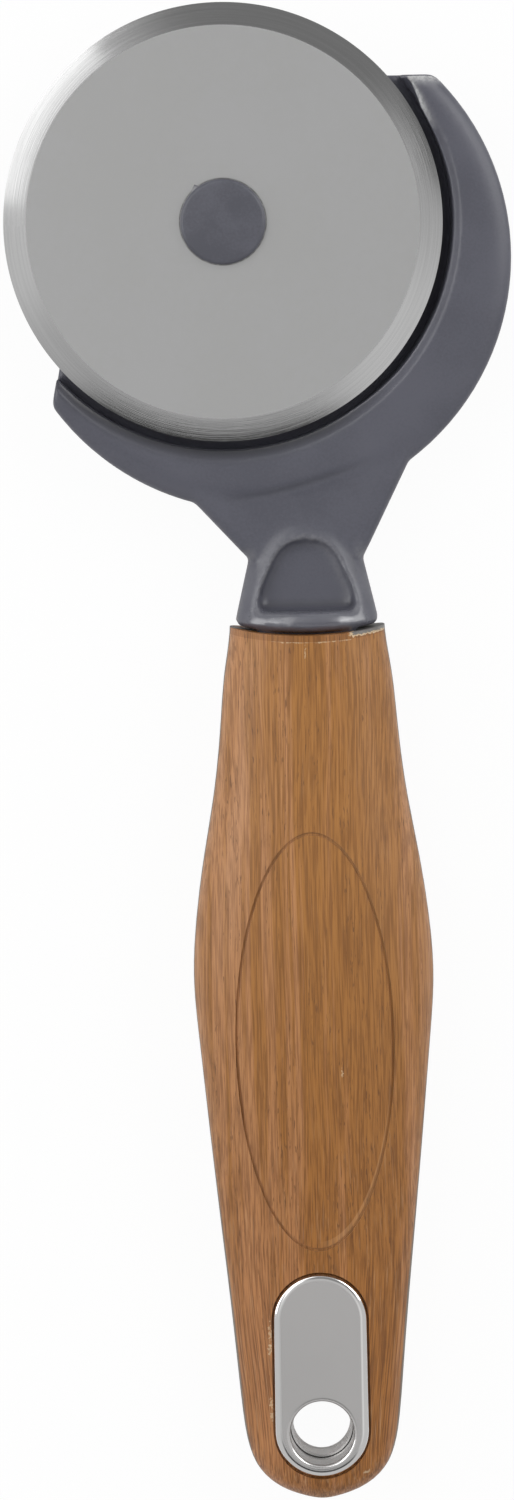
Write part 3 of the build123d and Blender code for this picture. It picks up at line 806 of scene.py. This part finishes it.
colour = tint(grain, smooth_step(grain, pinkness, 0.42, 0.60), (0.340, 0.150, 0.038), (0.422, 0.203, 0.083))
low_fibre = tint(grain, towards_end, (0.72, 0.66, 0.59), (0.60, 0.52, 0.44))
high_fibre = tint(grain, towards_end, (1.15, 1.14, 1.13), (1.24, 1.20, 1.16))
colour = tint(grain, 1.0, colour, tint(grain, smooth_step(grain, fibres, 0.36, 0.62), low_fibre, high_fibre),
              "MULTIPLY")
dark_thread = maths(grain, "MULTIPLY", smooth_step(grain, threads, 0.58, 0.72),
                    maths(grain, "ADD", 0.46, maths(grain, "MULTIPLY", towards_end, 0.24)))
colour = tint(grain, dark_thread, colour, (0.17, 0.070, 0.023))
scratch = maths(grain, "MULTIPLY", smooth_step(grain, scratches, 0.58, 0.70),
                maths(grain, "ADD", 0.08, maths(grain, "MULTIPLY", towards_end, 0.40)))
colour = tint(grain, scratch, colour, (0.58, 0.38, 0.22))
pore = maths(grain, "MULTIPLY", smooth_step(grain, pores, 0.60, 0.69),
             smooth_step(grain, pore_rows, 0.44, 0.62))
colour = tint(grain, maths(grain, "MULTIPLY", pore, 0.75), colour, (0.130, 0.055, 0.020))
# Painted shade: the wood darkens towards the handle's end, green and blue more than red.
shade = smooth_step(grain, y, -0.098, 0.006, 0.855, 1.0)
shade_colour = add_node(grain, "ShaderNodeCombineColor", {
    "Red": shade,
    "Green": maths(grain, "POWER", shade, 1.45),
    "Blue": maths(grain, "POWER", shade, 2.0),
})
colour = tint(grain, 1.0, colour, shade_colour.outputs[0], "MULTIPLY")
grain.links.new(colour, out_of.inputs["Colour"])
grain.links.new(maths(grain, "SUBTRACT", fibres, maths(grain, "MULTIPLY", pore, 0.5)), out_of.inputs["Fibres"])

tear, into, out_of = new_group("film tear", [
    ("Across", "NodeSocketFloat", 0.0),
    ("Along", "NodeSocketFloat", 0.0),
    ("Half Width", "NodeSocketFloat", 0.0003),
    ("Half Length", "NodeSocketFloat", 0.002),
    ("Ragged", "NodeSocketFloat", 1.0),
], [
    ("Mask", "NodeSocketFloat"),
])
place = add_node(tear, "ShaderNodeTexCoord").outputs["Object"]
x, y, z = add_node(tear, "ShaderNodeSeparateXYZ", {"Vector": place}).outputs
off_x = maths(tear, "DIVIDE", maths(tear, "SUBTRACT", x, into.outputs["Across"]), into.outputs["Half Width"])
off_y = maths(tear, "DIVIDE", maths(tear, "SUBTRACT", y, into.outputs["Along"]), into.outputs["Half Length"])
off = length(tear, off_x, off_y)
edge = maths(tear, "SUBTRACT", noise(tear, place, 2400, 3, 0.6), 0.5)
edge = maths(tear, "MULTIPLY", edge, into.outputs["Ragged"])
off = maths(tear, "ADD", off, maths(tear, "MULTIPLY", edge, 4.0))
front = smooth_step(tear, z, 0.0115, 0.012)
torn = smooth_step(tear, off, 0.8, 1.1, 1.0, 0.0)
tear.links.new(maths(tear, "MULTIPLY", front, torn), out_of.inputs["Mask"])

handle_low, handle_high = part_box("handle_spine")
seam_height = (handle_low.z + handle_high.z) / 2
film_edge = 0.0019               # from the seam's middle to where the film stops
film_cream = (0.60, 0.45, 0.28)
printed_wood, tree, shader = new_finish("printed wood", IOR=1.45)
place = add_node(tree, "ShaderNodeTexCoord").outputs["Object"]
x, y, z = add_node(tree, "ShaderNodeSeparateXYZ", {"Vector": place}).outputs
wooden = place_group(tree, grain)
off_seam = maths(tree, "ABSOLUTE", maths(tree, "SUBTRACT", z, seam_height))
oval_middle = (0.006175, -0.0415)
oval_half = (0.0114, 0.03015)    # along the groove, a painted highlight lies on its outer half, most on the right, and painted light pales its lower right part
off_x = maths(tree, "DIVIDE", maths(tree, "SUBTRACT", x, oval_middle[0]), oval_half[0])
off_y = maths(tree, "DIVIDE", maths(tree, "SUBTRACT", y, oval_middle[1]), oval_half[1])
oval = length(tree, off_x, off_y)
lower_right = maths(tree, "MULTIPLY", smooth_step(tree, off_x, -0.1, 0.3),
                    smooth_step(tree, off_y, -0.5, 0.0, 1.0, 0.0))
groove_painted_light = maths(tree, "MULTIPLY", hump(tree, oval, 0.984, 1.001, 0.002),
              maths(tree, "ADD", 0.08, maths(tree, "MULTIPLY", smooth_step(tree, off_x, 0.1, 0.6), 0.22)))
groove_painted_light = maths(tree, "MAXIMUM", groove_painted_light, maths(tree, "MULTIPLY", hump(tree, oval, 0.955, 1.001, 0.002),
                                            maths(tree, "MULTIPLY", lower_right, 0.17)))
groove_painted_light = maths(tree, "MULTIPLY", groove_painted_light, smooth_step(tree, z, 0.0115, 0.012))
bare = smooth_step(tree, off_seam, film_edge - 0.00012, film_edge + 0.00012, 1.0, 0.0)
colour = tint(tree, groove_painted_light, wooden.outputs["Colour"], (0.78, 0.46, 0.22))
colour = tint(tree, bare, colour, (0.150, 0.125, 0.095))
fold_radius = 0.0595             # from the joint's centre to the fold where the flange starts
off_x = maths(tree, "SUBTRACT", x, joint_centre[0])
off_y = maths(tree, "SUBTRACT", y, joint_centre[1])
fold = length(tree, off_x, off_y)
ragged = maths(tree, "MULTIPLY", maths(tree, "SUBTRACT", noise(tree, place, 2600, 3, 0.6), 0.5), 0.0006)
fold = maths(tree, "ADD", maths(tree, "SUBTRACT", fold, fold_radius), ragged)
wear_and_painted_highlight = maths(tree, "MULTIPLY", smooth_step(tree, fold, 0.00008, 0.00014, 1.0, 0.0),
             hump(tree, x, 0.0012, 0.0126, 0.0006))
wear_and_painted_highlight = maths(tree, "MULTIPLY", wear_and_painted_highlight, smooth_step(tree, z, 0.0115, 0.012))
broken = smooth_step(tree, noise(tree, place, 1500, 3, 0.6), 0.42, 0.56, 0.15, 0.75)
wear_and_painted_highlight = maths(tree, "MULTIPLY", wear_and_painted_highlight, broken)
colour = tint(tree, wear_and_painted_highlight, colour, film_cream)
tears = [
    (-0.00105, -0.0836, 0.00018, 0.0009),
    (-0.00105, -0.0856, 0.00020, 0.0005),
    (-0.00105, -0.0938, 0.00016, 0.0006),
    (-0.00095, -0.0953, 0.00022, 0.0005),
    (0.0125, -0.1037, 0.0003, 0.00022),
    (0.0058, 0.0142, 0.00007, 0.0005),
    (0.0100, -0.0460, 0.00012, 0.0004),
]
for across, along, half_width, half_length in tears:
    torn = place_group(tree, tear, Across=across, Along=along, Half_Width=half_width,
                       Half_Length=half_length, Ragged=2.4)
    colour = tint(tree, maths(tree, "MULTIPLY", torn.outputs["Mask"], 0.6), colour, film_cream)
tree.links.new(colour, shader.inputs["Base Color"])
tree.links.new(smooth_step(tree, wooden.outputs["Fibres"], 0.3, 0.7, 0.48, 0.36), shader.inputs["Roughness"])
add_bump(tree, shader, wooden.outputs["Fibres"], 0.35, 0.00003)
for name in ("handle_front_shell", "handle_rear_shell"):
    set_finish(name, printed_wood)


# Handle core: the moulded spine. Its edge shows as a thin grey line along both sides of the handle,
# and its flange closes the handle's top, where the film is folded over it but for a ragged corner.
flange_foot = 0.0140             # the flange is the only part of the core this far up the handle
ragged_start = 0.0126
film_top = 0.0590                # where the film ends on the flange, from the joint's centre
core_grey, tree, shader = new_finish("core grey", IOR=1.45)
place = add_node(tree, "ShaderNodeTexCoord").outputs["Object"]
x, y, z = add_node(tree, "ShaderNodeSeparateXYZ", {"Vector": place}).outputs
skinned = place_group(tree, skin, Dark=(0.15, 0.14, 0.13), Light=(0.22, 0.21, 0.20), Smooth=0.42, Rough=0.55,
                      Cloud_Scale=300.0, Spark_Scale=2200.0)
wooden = place_group(tree, grain)
off_seam = maths(tree, "ABSOLUTE", maths(tree, "SUBTRACT", z, seam_height))
wrapped = maths(tree, "MULTIPLY", smooth_step(tree, off_seam, film_edge - 0.00012, film_edge + 0.00012),
                smooth_step(tree, y, flange_foot - 0.0001, flange_foot))
ragged = maths(tree, "MULTIPLY", maths(tree, "SUBTRACT", noise(tree, place, 1500, 4, 0.65), 0.5), 0.0022)
torn_x = maths(tree, "ADD", x, ragged)
off_x = maths(tree, "SUBTRACT", x, joint_centre[0])
off_y = maths(tree, "SUBTRACT", y, joint_centre[1])
down = length(tree, off_x, off_y)
ragged = maths(tree, "MULTIPLY", maths(tree, "SUBTRACT", noise(tree, place, 2400, 4, 0.65), 0.5), 0.0011)
down = maths(tree, "ADD", down, ragged)
kept = maths(tree, "MAXIMUM", smooth_step(tree, torn_x, ragged_start, ragged_start + 0.0001, 1.0, 0.0),
             smooth_step(tree, down, film_top, film_top + 0.00005))
covered = maths(tree, "MULTIPLY", wrapped, kept)
near_edge = maths(tree, "MULTIPLY", smooth_step(tree, torn_x, ragged_start - 0.0003, ragged_start - 0.0002),
                  smooth_step(tree, down, film_top + 0.00020, film_top + 0.00026, 1.0, 0.0))
backing = maths(tree, "MULTIPLY", covered, near_edge)
deeper = tint(tree, 1.0, wooden.outputs["Colour"], (0.80, 0.76, 0.72), "MULTIPLY")
colour = tint(tree, covered, skinned.outputs["Colour"], deeper)
colour = tint(tree, backing, colour, film_cream)
tree.links.new(colour, shader.inputs["Base Color"])
tree.links.new(skinned.outputs["Roughness"], shader.inputs["Roughness"])
add_bump(tree, shader, skinned.outputs["Height"], 0.3, 0.00002)
set_finish("handle_spine", core_grey)


# Hanging plates: pressed stainless steel, satin on the face, with a rounded bright rim, and a hole
# whose flare runs into a short tube. One sits on each side, and the rear tube goes into the front's.
rim_wide = 0.0010
rim_high = 0.0006
sheet_thickness = 0.0008
flare_radius = 0.0050
flare_deep = 0.0005
tube_wall = 0.0003
hole_along = 0.0098
plate_radius = (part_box("hang_plate_front")[1].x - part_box("hang_plate_front")[0].x) / 2
plate_steel, tree, shader = new_finish("plate steel", Metallic=1.0)
place = add_node(tree, "ShaderNodeTexCoord").outputs["Object"]
x, y, z = add_node(tree, "ShaderNodeSeparateXYZ", {"Vector": place}).outputs
skinned = place_group(tree, skin, Dark=(0.725, 0.71, 0.70), Light=(0.74, 0.725, 0.715), Smooth=0.19,
                      Rough=0.21, Cloud_Scale=60.0, Spark_Scale=700.0)
brush_place = add_node(tree, "ShaderNodeCombineXYZ", {
    "X": maths(tree, "MULTIPLY", x, 5200.0),
    "Y": maths(tree, "MULTIPLY", y, 160.0),
    "Z": maths(tree, "MULTIPLY", z, 5200.0),
})
brushing = noise(tree, brush_place.outputs[0], 1.0, 2)
streaks = tint(tree, brushing, (0.98, 0.98, 0.98), (1.02, 1.02, 1.02))
colour = tint(tree, 1.0, skinned.outputs["Colour"], streaks, "MULTIPLY")
off_x = maths(tree, "SUBTRACT", x, sum(corner.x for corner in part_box("hang_plate_front")) / 2)
off_y = maths(tree, "SUBTRACT", y, sum(corner.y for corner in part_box("hang_plate_front")) / 2)
straight = (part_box("hang_plate_front")[1].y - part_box("hang_plate_front")[0].y) / 2 - plate_radius
off_y = maths(tree, "MAXIMUM", maths(tree, "SUBTRACT", maths(tree, "ABSOLUTE", off_y), straight), 0.0)
from_line = length(tree, off_x, off_y)
on_rim = smooth_step(tree, from_line, plate_radius - rim_wide - 0.0001, plate_radius - rim_wide + 0.0001)
tree.links.new(tint(tree, on_rim, colour, (0.85, 0.84, 0.83)), shader.inputs["Base Color"])
tree.links.new(between(tree, on_rim, skinned.outputs["Roughness"], 0.11), shader.inputs["Roughness"])
add_bump(tree, shader, brushing, 0.05, 0.00001)


def hang_plate(name, node_name, hole_radius, outward):
    """Plate whose face looks outward, 1 for the front and -1 for the back."""
    low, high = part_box(node_name)
    face, tube_end = (high.z, low.z) if outward > 0 else (low.z, high.z)
    middle_y = (low.y + high.y) / 2
    end_radius = plate_radius
    rim = rounded(end_radius - rim_wide, 1, -rim_high, rim_wide, rim_high, 0)[::-1]
    depth = abs(face - tube_end)
    flare = rounded(flare_radius, 0, -flare_deep, hole_radius - flare_radius, flare_deep, 0)
    rows = [
        (hole_radius, 0, -depth),
        *flare,
        (flare_radius + 0.0002, 0, 0),
        (end_radius - rim_wide - 0.0002, 1, 0),
        *rim,
        (end_radius, 1, -sheet_thickness),
        (hole_radius + tube_wall, 0, -sheet_thickness),
        (hole_radius + tube_wall, 0, -depth),
        (hole_radius, 0, -depth),
    ]
    rows = [(radius, share, height * outward) for radius, share, height in rows]
    hole_y = cad_bounds[0][1] + hole_along
    made = turned_piece(name, rows, (low.x + plate_radius, middle_y, face), plate_steel, 40, 192,
                        (high.y - low.y) / 2 - plate_radius, hole_y - middle_y)
    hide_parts(node_name)
    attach(made, "handle_and_head")


hang_plate("pressed_front_plate", "hang_plate_front", 0.00455, 1)
hang_plate("pressed_rear_plate", "hang_plate_rear", 0.00415, -1)


# Adhesive pads under the plates.
adhesive = skin_finish("adhesive", (0.04, 0.04, 0.04), (0.07, 0.07, 0.07), 0.7, 0.9, 500, 1200, 0.00002)
for name in ("front_plate_pad", "rear_plate_pad"):
    set_finish(name, adhesive)
